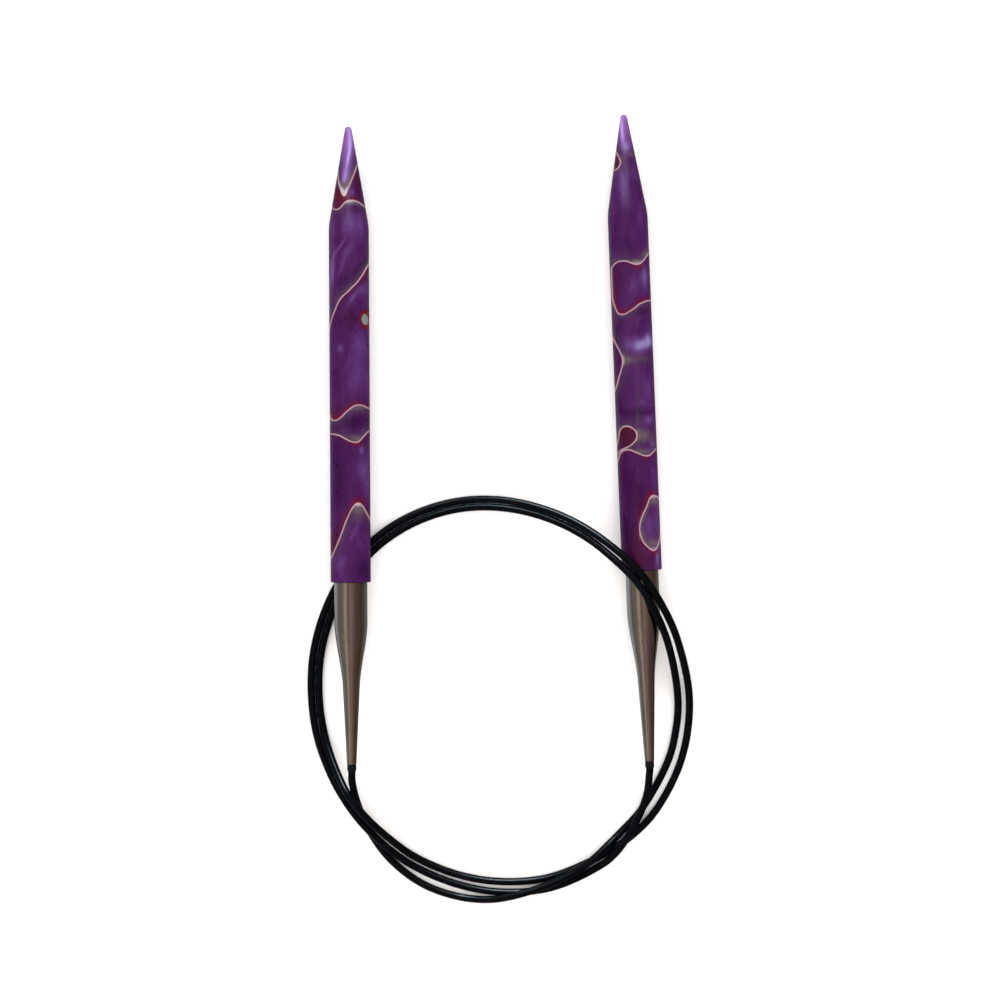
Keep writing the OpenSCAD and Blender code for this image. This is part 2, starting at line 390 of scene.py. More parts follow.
def skin_radius(share):
    """Outer radius of a ferrule at a share of its length, 0 at the acrylic and 1 at the mouth."""
    def tail(s):
        return MOUTH_RADIUS + TAIL_WIDENING * (1 - s)
    if share <= STRAIGHT_SHARE:
        return FERRULE_RADIUS
    swell = (1 + math.cos(math.pi * min(1, (share - STRAIGHT_SHARE) / (TAIL_SHARE - STRAIGHT_SHARE)))) / 2
    return tail(share) + (FERRULE_RADIUS - tail(STRAIGHT_SHARE)) * swell


def ferrule_outline(long):
    """Round the outside to the mouth, and back through the throat, chamber and socket."""
    outline = [
        (FERRULE_RADIUS - FERRULE_EDGE * (1 - math.sin(a)), long - FERRULE_EDGE * (1 - math.cos(a)))
        for a in arc(5, 0, math.pi / 2)
    ]
    front = (FERRULE_RADIUS, long * (1 - STRAIGHT_SHARE))
    outline += between(outline[-1], front, 12)
    outline += [(skin_radius(s), long * (1 - s)) for s in arc(70, STRAIGHT_SHARE, 1)[:-1]]
    outline += [(MOUTH_RADIUS, FERRULE_EDGE / 2), (MOUTH_RADIUS - FERRULE_EDGE / 2, 0)]
    outline += [(THROAT_RADIUS, 0), (THROAT_RADIUS, THROAT_LENGTH), (CHAMBER_RADIUS, THROAT_LENGTH)]
    throat, socket = 1 - THROAT_LENGTH / long, SOCKET_DEPTH / long
    for share in arc(28, throat, socket)[1:-1]:
        hollow = max(CHAMBER_RADIUS, min(SOCKET_RADIUS, skin_radius(share) - FERRULE_WALL))
        outline.append((hollow, long * (1 - share)))
    outline += [(SOCKET_RADIUS, long - SOCKET_DEPTH), (SOCKET_RADIUS, long)]
    return outline


def make_ferrule(needle):
    outline = ferrule_outline(needle.ferrule_length)
    piece = lathe(f"{needle.side}_steel_ferrule", outline, needle, needle.body, sides=128)
    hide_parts(f"{needle.side}_ferrule")
    piece.data.materials.append(drawn_steel())


# ---------------------------------------------------------------- material tools

def srgb(red, green, blue):
    """A colour given as 0 to 255 screen values, as the linear colour that shaders take."""
    def linear(v):
        v = v / 255
        return v / 12.92 if v <= 0.04045 else ((v + 0.055) / 1.055) ** 2.4
    return (linear(red), linear(green), linear(blue), 1)


class Field:
    """A number at each point of a surface, built up from Math nodes by ordinary arithmetic."""

    def __init__(self, tree, socket):
        self.tree = tree
        self.socket = socket

    def _node(self, operation, *others):
        node = self.tree.nodes.new("ShaderNodeMath")
        node.operation = operation
        for socket, value in zip(node.inputs, (self, *others)):
            if isinstance(value, Field):
                self.tree.links.new(value.socket, socket)
            else:
                socket.default_value = value
        return Field(self.tree, node.outputs[0])

    def __add__(self, other):
        return self._node("ADD", other)

    __radd__ = __add__

    def __sub__(self, other):
        return self._node("SUBTRACT", other)

    def __rsub__(self, other):
        return (self * -1) + other

    def __mul__(self, other):
        return self._node("MULTIPLY", other)

    __rmul__ = __mul__

    def __truediv__(self, other):
        return self._node("DIVIDE", other)

    def __neg__(self):
        return self * -1

    def most(self, other):
        return self._node("MAXIMUM", other)

    def least(self, other):
        return self._node("MINIMUM", other)

    def size(self):
        return self._node("ABSOLUTE")

    def turn_from(self, other):
        """The angle whose sine goes as this number and whose cosine goes as the other."""
        return self._node("ARCTAN2", other)

    def root(self):
        return self._node("SQRT")

    def smooth_least(self, other, reach):
        return self._node("SMOOTH_MIN", other, reach)

    def line(self, points):
        """The height at this number of a smooth line through given points (number, height)."""
        first, last = points[0][0], points[-1][0]
        low = min(height for _, height in points)
        span = max(height for _, height in points) - low
        node = self.tree.nodes.new("ShaderNodeFloatCurve")
        curve = node.mapping.curves[0]
        spots = [
            ((number - first) / (last - first), (height - low) / span)
            for number, height in points
        ]
        curve.points[0].location, curve.points[1].location = spots[0], spots[-1]
        for spot in spots[1:-1]:
            curve.points.new(*spot)
        node.mapping.update()
        self.tree.links.new(((self - first) / (last - first)).socket, node.inputs["Value"])
        return Field(self.tree, node.outputs["Value"]) * span + low

    def ramp(self, start, end):
        """0 at start and 1 at end, smooth between and flat outside."""
        node = self.tree.nodes.new("ShaderNodeMapRange")
        node.interpolation_type = "SMOOTHSTEP"
        turned = start > end
        self.tree.links.new(self.socket, node.inputs["Value"])
        node.inputs["From Min"].default_value = min(start, end)
        node.inputs["From Max"].default_value = max(start, end)
        node.inputs["To Min"].default_value = 1 if turned else 0
        node.inputs["To Max"].default_value = 0 if turned else 1
        return Field(self.tree, node.outputs["Result"])

    def exponent(self):
        return self._node("EXPONENT")

    def fade(self, reach):
        """1 where the number is 0, falling away to both sides over about this reach."""
        return (self.size() / -reach).exponent()

    def bell(self, reach):
        """1 where the number is 0, with a rounder top and shorter tails than fade."""
        return (self * self / -(reach * reach)).exponent()


def set_stops(ramp, stops):
    """Gives a colour ramp these (place, colour) stops, in rising order."""
    ramp.elements.remove(ramp.elements[1])
    for number, (place, colour) in enumerate(stops):
        stop = ramp.elements[0] if number == 0 else ramp.elements.new(place)
        stop.position = place
        stop.color = colour


class Paint:
    """Nodes for one material, with the surface's place in millimetres as x, y and z."""

    def __init__(self, name):
        self.material = bpy.data.materials.new(name)
        self.material.use_nodes = True
        self.tree = self.material.node_tree
        self.tree.nodes.clear()
        output = self.tree.nodes.new("ShaderNodeOutputMaterial")
        self.shader = self.tree.nodes.new("ShaderNodeBsdfPrincipled")
        self.tree.links.new(self.shader.outputs["BSDF"], output.inputs["Surface"])
        place = self.tree.nodes.new("ShaderNodeAttribute")
        place.attribute_name = "place"
        split = self.tree.nodes.new("ShaderNodeSeparateXYZ")
        self.tree.links.new(place.outputs["Vector"], split.inputs["Vector"])
        self.x, self.y, self.z = (Field(self.tree, split.outputs[axis]) for axis in "XYZ")

    def noise(self, x, y, z, detail=3, roughness=0.5, distortion=0):
        """Smooth noise from 0 to 1 at a point, which has a grain of about one unit."""
        join = self.tree.nodes.new("ShaderNodeCombineXYZ")
        for socket, value in zip(join.inputs, (x, y, z)):
            self.tree.links.new(value.socket, socket)
        node = self.tree.nodes.new("ShaderNodeTexNoise")
        self.tree.links.new(join.outputs["Vector"], node.inputs["Vector"])
        node.inputs["Scale"].default_value = 1
        node.inputs["Detail"].default_value = detail
        node.inputs["Roughness"].default_value = roughness
        node.inputs["Distortion"].default_value = distortion
        return Field(self.tree, node.outputs["Fac"])

    def mix(self, share, first, second):
        """first where share is 0 and second where it is 1."""
        node = self.tree.nodes.new("ShaderNodeMix")
        node.data_type = "RGBA"
        self.tree.links.new(share.socket, node.inputs["Factor"])
        for name, value in (("A", first), ("B", second)):
            socket = next(s for s in node.inputs if s.name == name and s.type == "RGBA")
            if isinstance(value, tuple):
                socket.default_value = value
            else:
                self.tree.links.new(value, socket)
        return next(s for s in node.outputs if s.type == "RGBA")

    def shades(self, share, stops):
        """The colour at a share of a row of colours, given as (share, colour)."""
        node = self.tree.nodes.new("ShaderNodeValToRGB")
        self.tree.links.new(share.socket, node.inputs["Fac"])
        set_stops(node.color_ramp, stops)
        return node.outputs["Color"]

    def link(self, value, name):
        """Feeds a field or a colour into the shader's socket of this name."""
        socket = value.socket if isinstance(value, Field) else value
        self.tree.links.new(socket, self.shader.inputs[name])

    def bump(self, height, depth_mm):
        """Raises the surface by the height field, where 1 is this many millimetres."""
        node = self.tree.nodes.new("ShaderNodeBump")
        node.inputs["Strength"].default_value = 1
        node.inputs["Distance"].default_value = depth_mm * MM
        self.tree.links.new(height.socket, node.inputs["Height"])
        self.tree.links.new(node.outputs["Normal"], self.shader.inputs["Normal"])

    def set(self, **values):
        """Sets the shader's own sockets to values that are the same all over."""
        for name, value in values.items():
            self.shader.inputs[name.replace("_", " ")].default_value = value


# ---------------------------------------------------------------- marbling

# The studio shows a matt colour about this much brighter than it is, so the colours below, which
# are given as they look in it, are divided by this.
STUDIO_GAIN = 1.75


def seen(red, green, blue):
    """The shader colour that looks like these 0 to 255 screen values under the studio's light."""
    return (*(value / STUDIO_GAIN for value in srgb(red, green, blue)[:3]), 1)


# The pearl's colours from its deepest shade to its brightest sheen
PEARL_SHADES = [
    (0.0, seen(50, 1, 62)), (0.2, seen(64, 8, 78)), (0.4, seen(81, 26, 97)), (0.6, seen(97, 52, 122)),
    (0.8, seen(118, 88, 156)), (1.0, seen(150, 132, 192)),
]
# Painted highlight: bright lilac streaks on the points that stand in for light glinting off them
PAINTED_HIGHLIGHT = seen(196, 160, 252)
# Lighter purple of the points: partly their own tone, partly a painted glow of light shining through the
# thin acrylic
TIP_PURPLE_AND_GLOW = seen(150, 92, 180)
CRIMSON = seen(116, 6, 34)
WINE = seen(76, 12, 46)
OLIVE = seen(112, 96, 98)
PEARL = seen(216, 208, 222)
GREY = seen(140, 146, 150)
CREAM = seen(224, 187, 196)
DUSK = seen(26, 14, 32)

# The pale eye on the left shaft: its middle and half sizes across, up and along, in millimetres
EYE_MIDDLE = (3.3, 2.26, 38.95)
EYE_SIZE = (1.35, 5, 2.15)

# Millimetres to each side over which a line's slope is measured
SLOPE_STEP = 0.1


def past_line(along, across, points):
    """How far a place is past a line across the shaft, square to the line, in millimetres."""
    rise = ((across + SLOPE_STEP).line(points) - (across - SLOPE_STEP).line(points)) / (2 * SLOPE_STEP)
    return (along - across.line(points)) / (rise * rise + 1).root()


def blots(x, u, places):
    """Soft oval patches from 0 to 1. Each has a middle, half sizes, a lean and a strength."""
    total = None
    for across, along, half_width, half_length, lean, strength in places:
        du = u - along
        dx = x - du * lean - across
        patch = (dx * dx / -half_width**2 - du * du / half_length**2).exponent() * strength
        total = patch if total is None else total + patch
    return total


class Marbling:
    """A needle's veins and clouds, and the painted highlight on its point, as numbers over its surface."""

    def __init__(self, inside, bold, white, smoke, wine, glow, shade, painted_highlight):
        self.inside = inside    # millimetres inside a vein's crimson side, and below 0 on its grey side
        self.bold = bold        # how strong the crimson is
        self.white = white      # where the cream line thickens
        self.smoke = smoke      # olive-grey smoke
        self.wine = wine        # wine-red clouds
        self.glow = glow        # lighter pearl
        self.shade = shade      # darker pearl
        self.painted_highlight = painted_highlight      # painted highlight: bright streaks on the point


def left_marbling(x, u):
    """The left shaft's veins and clouds, at millimetres across from its middle and along from its point."""
    # A tongue of pearl comes down from the point, with crimson between it and a wavy collar.
    tongue = [
        (-2.4, 5), (-2.15, 8), (-2, 10), (-1.85, 11.4), (-1.6, 12.4), (-1.3, 13.4), (-1.05, 14),
        (-0.7, 14.35), (-0.35, 14), (0, 13), (0.4, 12), (0.8, 11), (1.25, 9.7), (1.6, 8.6), (1.85, 7.8),
        (2.4, 6),
    ]
    collar = [
        (-4.2, 15), (-3.4, 15.9), (-2.9, 16.8), (-2.3, 17), (-1.8, 16.9), (-1.3, 16.5), (-0.75, 15.9),
        (-0.3, 15.5), (0.2, 15.3), (0.8, 15.25), (1.5, 15.35), (2.2, 15.6), (3.1, 16.2), (4.2, 17.2),
    ]
    slope = [
        (-4.2, 41.6), (-3.9, 40.5), (-3.3, 38.6), (-2.65, 37.1), (-2, 35.7), (-1.6, 35.1), (-1.2, 34.6),
        (-0.25, 33.75), (0.8, 32.7), (1.85, 31.6), (2.4, 30.8), (2.9, 30), (3.35, 29.1), (3.85, 28),
        (4.2, 27.2),
    ]
    upper_wave = [
        (-4.2, 57.4), (-3.9, 58), (-3.6, 58.6), (-3.2, 58.95), (-2.8, 59.05), (-2.3, 58.95), (-1.9, 58.7),
        (-1.35, 58.3), (-0.85, 57.8), (-0.3, 57.3), (0.2, 56.9), (0.7, 56.5), (1.25, 56.2), (1.75, 56.05),
        (2.2, 56.05), (2.7, 56.1), (3.2, 56.3), (4.2, 56.8),
    ]
    lower_wave = [
        (-4.2, 61.6), (-3.4, 61.7), (-2.4, 61.9), (-1.85, 62.1), (-1.35, 62.35), (-0.85, 62.65),
        (-0.3, 62.95), (0.2, 63.2), (0.7, 63.35), (1.2, 63.45), (1.65, 63.4), (2.2, 63.05), (2.6, 62.6),
        (3, 62.1), (3.4, 61.6), (4.2, 60.8),
    ]
    hill = [
        (-4.2, 87), (-3.7, 86.1), (-3.3, 85.4), (-2.85, 84.5), (-2.45, 83.6), (-2, 82.6), (-1.6, 81.6),
        (-1.2, 80.6), (-0.8, 79.5), (-0.35, 78.5), (0.05, 77.6), (0.45, 76.8), (0.9, 76.15), (1.3, 75.7),
        (1.7, 75.5), (2.15, 75.6), (2.55, 76), (2.95, 76.6), (3.4, 77.5), (4.2, 79.2),
    ]
    first = past_line(u, x, tongue).least(-past_line(u, x, collar))
    second = past_line(u, x, slope).least(-past_line(u, x, upper_wave))
    third = past_line(u, x, lower_wave).least(-past_line(u, x, hill))
    bold = blots(x, u, [
        (-0.7, 14.9, 0.9, 0.9, 0, 0.9), (0.9, 14.6, 0.9, 0.7, 0, 0.9), (-2.2, 15.4, 1.3, 1.3, 0, 0.6),
        (-2.5, 58.2, 1.7, 1.0, 0, 1.2), (1.6, 55.8, 1.8, 0.7, 0, 0.7), (-0.2, 57, 1.4, 0.8, 0, 0.6),
        (1.5, 63.6, 1.0, 0.7, 0, 1.2), (1.7, 75, 1.3, 1.1, 0, 1.4), (-0.7, 78.6, 0.9, 2.4, -0.42, 0.7),
        (3.3, 30, 0.7, 1.6, -0.5, 0.4),
    ])
    white = blots(x, u, [
        (-0.72, 13.7, 0.7, 0.9, 0, 2.2), (0.1, 15.45, 1.0, 0.35, 0, 0.7), (1.75, 75.75, 0.6, 0.4, 0, 0.8),
        (-1.4, 13, 0.25, 1.3, 0.2, 0.6),
    ])
    smoke = blots(x, u, [
        (-0.6, 12.3, 0.8, 0.7, 0, 1.0), (0.6, 10.8, 0.35, 1.3, -0.4, 0.6), (0.6, 15.9, 1.6, 0.35, 0, 0.5),
        (1.9, 76.7, 1.1, 0.8, 0, 0.9), (1.8, 78.2, 1.0, 1.2, 0, 0.35), (1.9, 56.6, 1.3, 0.5, 0, 0.55),
        (1.3, 62.6, 1.3, 0.6, 0, 0.6),
    ])
    wine = blots(x, u, [
        (-2.1, 14.2, 1.0, 1.8, 0, 0.9), (2.0, 11.5, 0.8, 2.5, 0.2, 0.6), (-2.2, 56.8, 1.6, 1.2, 0, 0.5),
        (-3.0, 82.5, 0.8, 2.6, -0.3, 0.7), (0.8, 38.5, 1.6, 1.8, 0, 0.35),
    ])
    glow = blots(x, u, [
        (1.0, 20.2, 2.6, 2.4, 0, 0.34), (-3.1, 20.5, 0.6, 2.4, 0, 0.22), (-1.5, 24.4, 0.35, 1.5, -0.7, 0.42),
        (-0.1, 25.5, 0.9, 2.6, -0.4, 0.26), (-3.2, 29.5, 0.5, 4.0, -0.05, 0.42),
        (-1.4, 29, 0.5, 2.6, -0.35, 0.18),
        (1.0, 34.6, 0.6, 2.2, -0.62, 0.34), (3.0, 33, 0.8, 1.4, -0.2, 0.26), (-1.6, 44.8, 0.7, 0.9, 0, 0.40),
        (2.4, 44, 2.2, 2.6, 0, 0.20), (2.0, 50.5, 1.8, 3.6, 0, 0.22), (3.0, 61, 0.8, 0.8, 0, 0.25),
        (2.5, 64.9, 0.6, 1.0, 0, 0.42), (2.6, 68.5, 1.2, 2.6, 0, 0.30), (3.2, 73, 0.8, 3, 0, 0.22),
        (1.0, 81.2, 0.6, 1.6, -0.4, 0.24), (-1.6, 87.5, 1.0, 1.6, -0.3, 0.22), (1.6, 84, 1.6, 3.0, 0, 0.12),
        (0.9, 13.6, 0.5, 0.8, 0, 0.35), (-0.2, 8.5, 1.4, 3.0, 0, 0.3),
    ])
    shade = blots(x, u, [
        (1.4, 17, 2.2, 0.7, 0, 0.16), (-1.7, 20.5, 0.5, 2.6, 0, 0.12), (2.6, 28.2, 0.7, 1.8, -0.75, 0.30),
        (-0.6, 31.5, 1.6, 1.6, -0.5, 0.22), (1.2, 39, 1.8, 1.4, 0, 0.14), (-2.2, 50, 1.4, 4.0, 0, 0.10),
        (0.6, 59.6, 3.4, 1.5, 0, 0.28), (-1.6, 67, 1.8, 5.0, 0, 0.18), (-1.6, 73.5, 1.6, 3.0, 0, 0.16),
        (3.2, 88.5, 1.4, 2.4, 0, 0.20),
    ])
    # Painted highlight: bright streaks down the point and a pale cap on its nose
    painted_highlight = blots(x, u, [
        (0.4, 3.0, 0.34, 2.6, 0, 0.8), (0.05, 6.6, 0.26, 2.0, -0.16, 0.8), (-0.6, 10.6, 0.5, 1.9, -0.1, 0.6),
        (0, 0.6, 1, 0.8, 0, 0.3), (-0.2, 5.5, 1.0, 3.5, -0.1, 0.24),
    ])
    return Marbling(first.most(second).most(third), bold, white, smoke, wine, glow, shade, painted_highlight)


def right_marbling(x, u):
    """The right shaft's veins and clouds, in the same measures."""
    loop = [
        (6.9, -2.3), (7.7, -1.75), (8.3, -1.5), (8.9, -1.3), (9.4, -1.15), (9.9, -1.12), (10.4, -1.3),
        (10.85, -1.6), (11.1, -2), (11.4, -2.7),
    ]
    cell_top = [
        (-4.2, 32), (-3.75, 30.8), (-3.3, 30.25), (-2.9, 29.9), (-2.35, 29.65), (-1.75, 29.6), (-1.1, 29.65),
        (-0.5, 29.8), (0.15, 30.1), (0.65, 30.3), (1.2, 30.4), (1.7, 30.3), (2.1, 30.1), (2.5, 29.7),
        (2.95, 29.2), (3.35, 28.65), (3.8, 28.1), (4.2, 27.5),
    ]
    cell_bottom = [
        (-4.2, 35.5), (-3.8, 36.8), (-3.5, 38), (-3.25, 38.85), (-2.95, 39.6), (-2.55, 40.05), (-2, 40.2),
        (-1.5, 40.15), (-1, 39.9), (-0.45, 39.6), (0.05, 39.3), (0.6, 38.9), (1.1, 38.5), (1.6, 38.2),
        (2.15, 37.95), (2.65, 37.75), (3.15, 37.6), (4.2, 37.4),
    ]
    bulge = [
        (44, -4.2), (46.1, -3.4), (47.1, -2.95), (47.9, -2.65), (48.6, -2.4), (49.35, -2.3), (50.2, -2.4),
        (50.9, -2.6), (51.75, -2.85), (52.6, -3.15), (53.7, -3.45), (55.5, -4.1),
    ]
    drop_top = [
        (-4.2, 67), (-3.65, 64.5), (-3.45, 63.5), (-3.15, 62.85), (-2.75, 62.5), (-2.25, 62.4), (-1.6, 62.5),
        (-1, 62.85), (-0.5, 63.3), (-0.2, 63.9), (-0.05, 64.8), (0.1, 66.5),
    ]
    drop_bottom = [
        (-4.2, 68), (-3.6, 67.4), (-3.3, 67.1), (-2.75, 66.8), (-2.15, 66.6), (-1.5, 66.3), (-1, 65.9),
        (-0.6, 65.5), (-0.3, 65), (-0.1, 64.2), (0.1, 62.5),
    ]
    wave = [
        (-4.2, 70), (-3.7, 68.5), (-3.4, 67.75), (-3.05, 67.35), (-2.55, 67.15), (-2, 67.1), (-1.4, 67.2),
        (-0.8, 67.5), (-0.15, 67.8), (0.5, 68.1), (1.1, 68.35), (1.7, 68.45), (2.25, 68.35), (2.75, 68),
        (3.2, 67.6), (4.2, 66.5),
    ]
    pear_top = [
        (-0.45, 84.5), (-0.33, 83), (-0.15, 81.8), (0.15, 80.8), (0.55, 79.85), (1, 79), (1.4, 78.2),
        (1.7, 77.45), (2, 76.85), (2.4, 76.45), (2.85, 76.35), (3.25, 76.5), (3.7, 76.8), (4.2, 77.6),
    ]
    pear_bottom = [
        (-0.45, 81), (-0.33, 82.9), (-0.2, 83.9), (0.05, 84.85), (0.45, 85.7), (1, 86.35), (1.5, 86.85),
        (2, 87.2), (2.4, 87.25), (2.85, 87), (3.15, 86.6), (3.45, 85.9), (3.7, 85.1), (4.2, 82),
    ]
    in_loop = -past_line(x, u, loop)
    in_cell = past_line(u, x, cell_top).smooth_least(-past_line(u, x, cell_bottom), 0.2)
    in_cell = in_cell.smooth_least(x + 3.75, 0.3)
    in_bulge = -past_line(x, u, bulge)
    in_drop = past_line(u, x, drop_top).smooth_least(-past_line(u, x, drop_bottom), 0.2)
    in_pear = past_line(u, x, pear_top).smooth_least(-past_line(u, x, pear_bottom), 0.2)
    below = past_line(u, x, wave).least(-in_pear)
    bold = blots(x, u, [
        (-1.6, 9.6, 0.5, 1.0, 0, 0.3), (1.5, 30.8, 1.1, 0.7, 0, 1.0), (-1.8, 39.2, 1.6, 1.2, 0, 1.2),
        (-3.3, 37, 0.5, 2.0, 0, 0.8), (1.8, 37.3, 2.2, 0.9, -1, 0.9), (-2.7, 49.4, 0.4, 1.2, 0, 0.4),
        (-1, 62.9, 1.2, 0.5, 0, 0.3), (1.7, 68.8, 0.8, 0.5, 0, 0.7), (1.9, 76.4, 1.2, 1.3, -0.6, 1.3),
        (0.3, 79.4, 0.6, 1.6, -0.45, 0.6), (-0.7, 83, 0.5, 2.4, 0, 0.4), (2.4, 87.8, 1.2, 0.8, 0, 0.9),
        (-3.2, 69, 0.5, 0.8, 0, 0.7),
    ])
    white = blots(x, u, [
        (2.6, 76.65, 0.7, 0.35, 0, 0.55), (1.4, 30.1, 0.9, 0.3, 0, 0.4), (-2.1, 49.3, 0.15, 0.9, 0, 0.5),
        (-3, 67.1, 0.9, 0.25, 0, 0.4), (2.3, 86.9, 0.7, 0.3, 0, 0.35),
    ])
    smoke = blots(x, u, [
        (1.2, 8.2, 0.8, 0.5, 0, 0.5), (-0.9, 9.4, 0.4, 1.0, 0, 0.35), (1.2, 29.8, 1.3, 0.5, 0, 0.8),
        (3.2, 28.1, 0.7, 0.7, -0.8, 0.7), (-1.4, 49.2, 1.0, 0.8, 0, 0.75), (1.4, 49.1, 2.2, 0.8, 0, 0.3),
        (0.1, 64.2, 0.45, 1.0, 0, 0.9), (1.5, 64.4, 1.4, 1.1, 0, 0.75), (1.0, 67.5, 1.4, 0.5, 0.8, 0.6),
        (2.9, 77.5, 0.9, 0.9, 0, 0.75), (2.2, 85.8, 1.1, 0.9, 0, 0.75), (0.4, 84, 0.4, 1.6, 0.2, 0.5),
        (0.9, 80, 0.4, 1.8, -0.35, 0.4),
    ])
    wine = blots(x, u, [
        (1.6, 9.3, 0.8, 0.9, 0, 0.8), (-2.0, 9.8, 0.6, 1.2, 0, 0.8), (3.3, 49.2, 0.8, 0.9, 0, 0.7),
        (-2.1, 64.5, 1.8, 1.9, 0, 1.3), (-2.9, 33, 0.8, 3.0, 0, 0.4), (-1.8, 88.5, 2.2, 3.5, 0, 0.65),
        (1.2, 89.5, 1.6, 1.6, 0, 0.5), (-3.5, 72, 1.0, 3.0, 0, 0.3),
    ])
    glow = blots(x, u, [
        (0.2, 6.6, 1.2, 1.6, 0, 0.6), (-0.8, 12.8, 0.9, 3.4, 0, 0.34), (-1.0, 17, 0.7, 2.6, 0, 0.16),
        (2.4, 20.5, 1.0, 2.4, 0, 0.20), (1.6, 12.2, 0.8, 1.4, 0, 0.16), (2.7, 32.8, 0.7, 2.4, 0, 0.42),
        (0.4, 34, 1.6, 2.4, 0, 0.16), (1.2, 41.4, 0.16, 1.0, -2.0, 0.30), (2.0, 46.2, 2.0, 1.6, -0.5, 0.72),
        (-1.2, 46, 1.6, 1.4, 0, 0.24), (3.0, 45, 0.7, 2.2, 0, 0.2), (2.6, 54.5, 1.2, 3.0, 0, 0.20),
        (0.4, 53, 1.6, 2.6, 0, 0.10), (0.3, 57.9, 1.6, 0.5, -1.2, 0.16), (2.4, 61.3, 0.9, 1.0, 0, 0.34),
        (3.0, 66.2, 0.8, 1.2, 0, 0.34), (2.9, 72, 1.0, 4.0, 0, 0.14), (1.6, 82, 0.9, 2.2, 0, 0.22),
        (3.1, 88.6, 0.45, 2.4, 0, 0.55), (3.4, 80.5, 0.6, 3.0, 0, 0.2),
    ])
    shade = blots(x, u, [
        (-2.0, 21.2, 0.8, 1.8, 0, 0.12), (-1.0, 26.5, 2.4, 2.0, 0, 0.10), (-2.2, 41.5, 1.6, 1.0, 0, 0.14),
        (1.6, 39.6, 1.6, 0.7, -1, 0.24), (-3.0, 56, 0.8, 3.5, 0, 0.20), (0, 59.8, 4, 0.6, 0, 0.26),
        (-0.8, 61, 1.8, 0.8, 0, 0.12), (-2.4, 73.5, 1.6, 5.0, 0, 0.22), (0, 76, 1.4, 3.0, 0, 0.12),
        (-2.4, 84, 1.6, 5.0, 0, 0.22), (-3.3, 44.5, 0.5, 1.5, 0, 0.15),
    ])
    # Painted highlight: a bright streak down the point and a pale cap on its nose
    painted_highlight = blots(x, u, [
        (-0.55, 2.2, 0.26, 1.6, 0, 1.6), (-0.5, 4.6, 0.34, 1.4, 0, 0.7), (0.2, 0.5, 1, 0.6, 0, 0.3),
    ])
    inside = in_loop.most(in_cell).most(in_bulge).most(in_drop).most(below)
    return Marbling(inside, bold, white, smoke, wine, glow, shade, painted_highlight)


def marbled_acrylic(needle, marbling):
    """Polished pearl acrylic: purple folds, with veins that part crimson from olive smoke."""
    paint = Paint(f"marbled_acrylic_{needle.side}")
    seed = 0.0 if needle.side == "left" else 40.0
    x, y, u = paint.x, paint.y, needle.length - paint.z

    # The veins run straight down through the shaft as far as its middle, and then wander off.
    under = (-y).most(0)
    sway = (paint.noise(x * 0.5 + seed, y * 0.5, u * 0.25, detail=0) - 0.5) * under
    veins = marbling(x + sway * 0.5, u + sway + under * 1.3)
    inside = veins.inside

    # Pearl: smoky folds that lean across the shaft, with a fine silky grain
    fold = paint.noise(
        x * 0.30 + u * 0.06 + seed, y * 0.30, u * 0.11 - x * 0.14, detail=2, roughness=0.45, distortion=0.8
    )
    silk = paint.noise(
        x * 1.1 + u * 0.5 + seed, y * 1.1, u * 0.4 - x * 0.3, detail=2, roughness=0.5, distortion=0.5
    )
    light = fold * 0.42 + silk * 0.14 + veins.glow - veins.shade + 0.07
    # Lighter towards the point: partly the acrylic's own tone, partly a painted glow of light through the
    # thin point
    tip = u.ramp(8, 2)
    colour = paint.mix(tip * 0.8, paint.shades(light, PEARL_SHADES), TIP_PURPLE_AND_GLOW)
    # Painted highlight streaks on the point
    colour = paint.mix(veins.painted_highlight.least(1), colour, PAINTED_HIGHLIGHT)

    # Each vein is a thin cream line with olive smoke and pearl on one side and crimson on the other.
    drift = paint.noise(x * 0.5, y * 0.5, u * 0.25 + seed, detail=2)
    red_side, grey_side = inside.ramp(-0.03, 0.06), inside.ramp(0.03, -0.06)
    bold = veins.bold.least(1.2)
    wine = inside.most(0).fade(1.0) * red_side * 0.45 + veins.wine * inside.ramp(-1.2, 0.3)
    olive = inside.least(0).fade(0.8) * grey_side * (drift * 0.5 + 0.1) + veins.smoke * grey_side
    crimson = inside.most(0).bell(0.8) * red_side * (bold * 0.85 + drift * 0.2)
    white = inside.least(0).bell(0.9) * grey_side * veins.white
    colour = paint.mix(wine.least(0.95), colour, WINE)
    dusk = inside.least(0).fade(0.45) * grey_side * (1 - drift.ramp(0.35, 0.6)) * 0.75
    colour = paint.mix(dusk, colour, DUSK)
    colour = paint.mix(olive.least(0.85), colour, OLIVE)
    colour = paint.mix(crimson.least(1), colour, CRIMSON)
    colour = paint.mix(white.least(0.9), colour, PEARL)
    colour = paint.mix(inside.bell(0.11) * (drift * 0.5 + 0.65).least(1), colour, CREAM)
    if needle.side == "left":
        dx, dy, du = (
            (value - middle) / size
            for value, middle, size in zip((x, y, u), EYE_MIDDLE, EYE_SIZE)
        )
        eye = (dx * dx + dy * dy + du * du).root()
        colour = paint.mix(eye.ramp(1.0, 0.75), colour, CRIMSON)
        colour = paint.mix(eye.ramp(0.58, 0.42), colour, GREY)
    paint.link(colour, "Base Color")

    polish = paint.noise(x * 1.1, y * 1.1, u * 0.4, detail=2)
    worn = u.ramp(14, 0) + u.ramp(90.2, 91.2)
    paint.link(polish * 0.14 + worn * 0.08 + 0.22, "Roughness")
    scratches = paint.noise(x * 0.9, y * 0.9, u * 0.25, detail=1)
    paint.bump(scratches * 0.4 + silk * 0.6, 0.0006)
    paint.set(Specular_IOR_Level=0.16)
    return paint.material


# ---------------------------------------------------------------- other materials

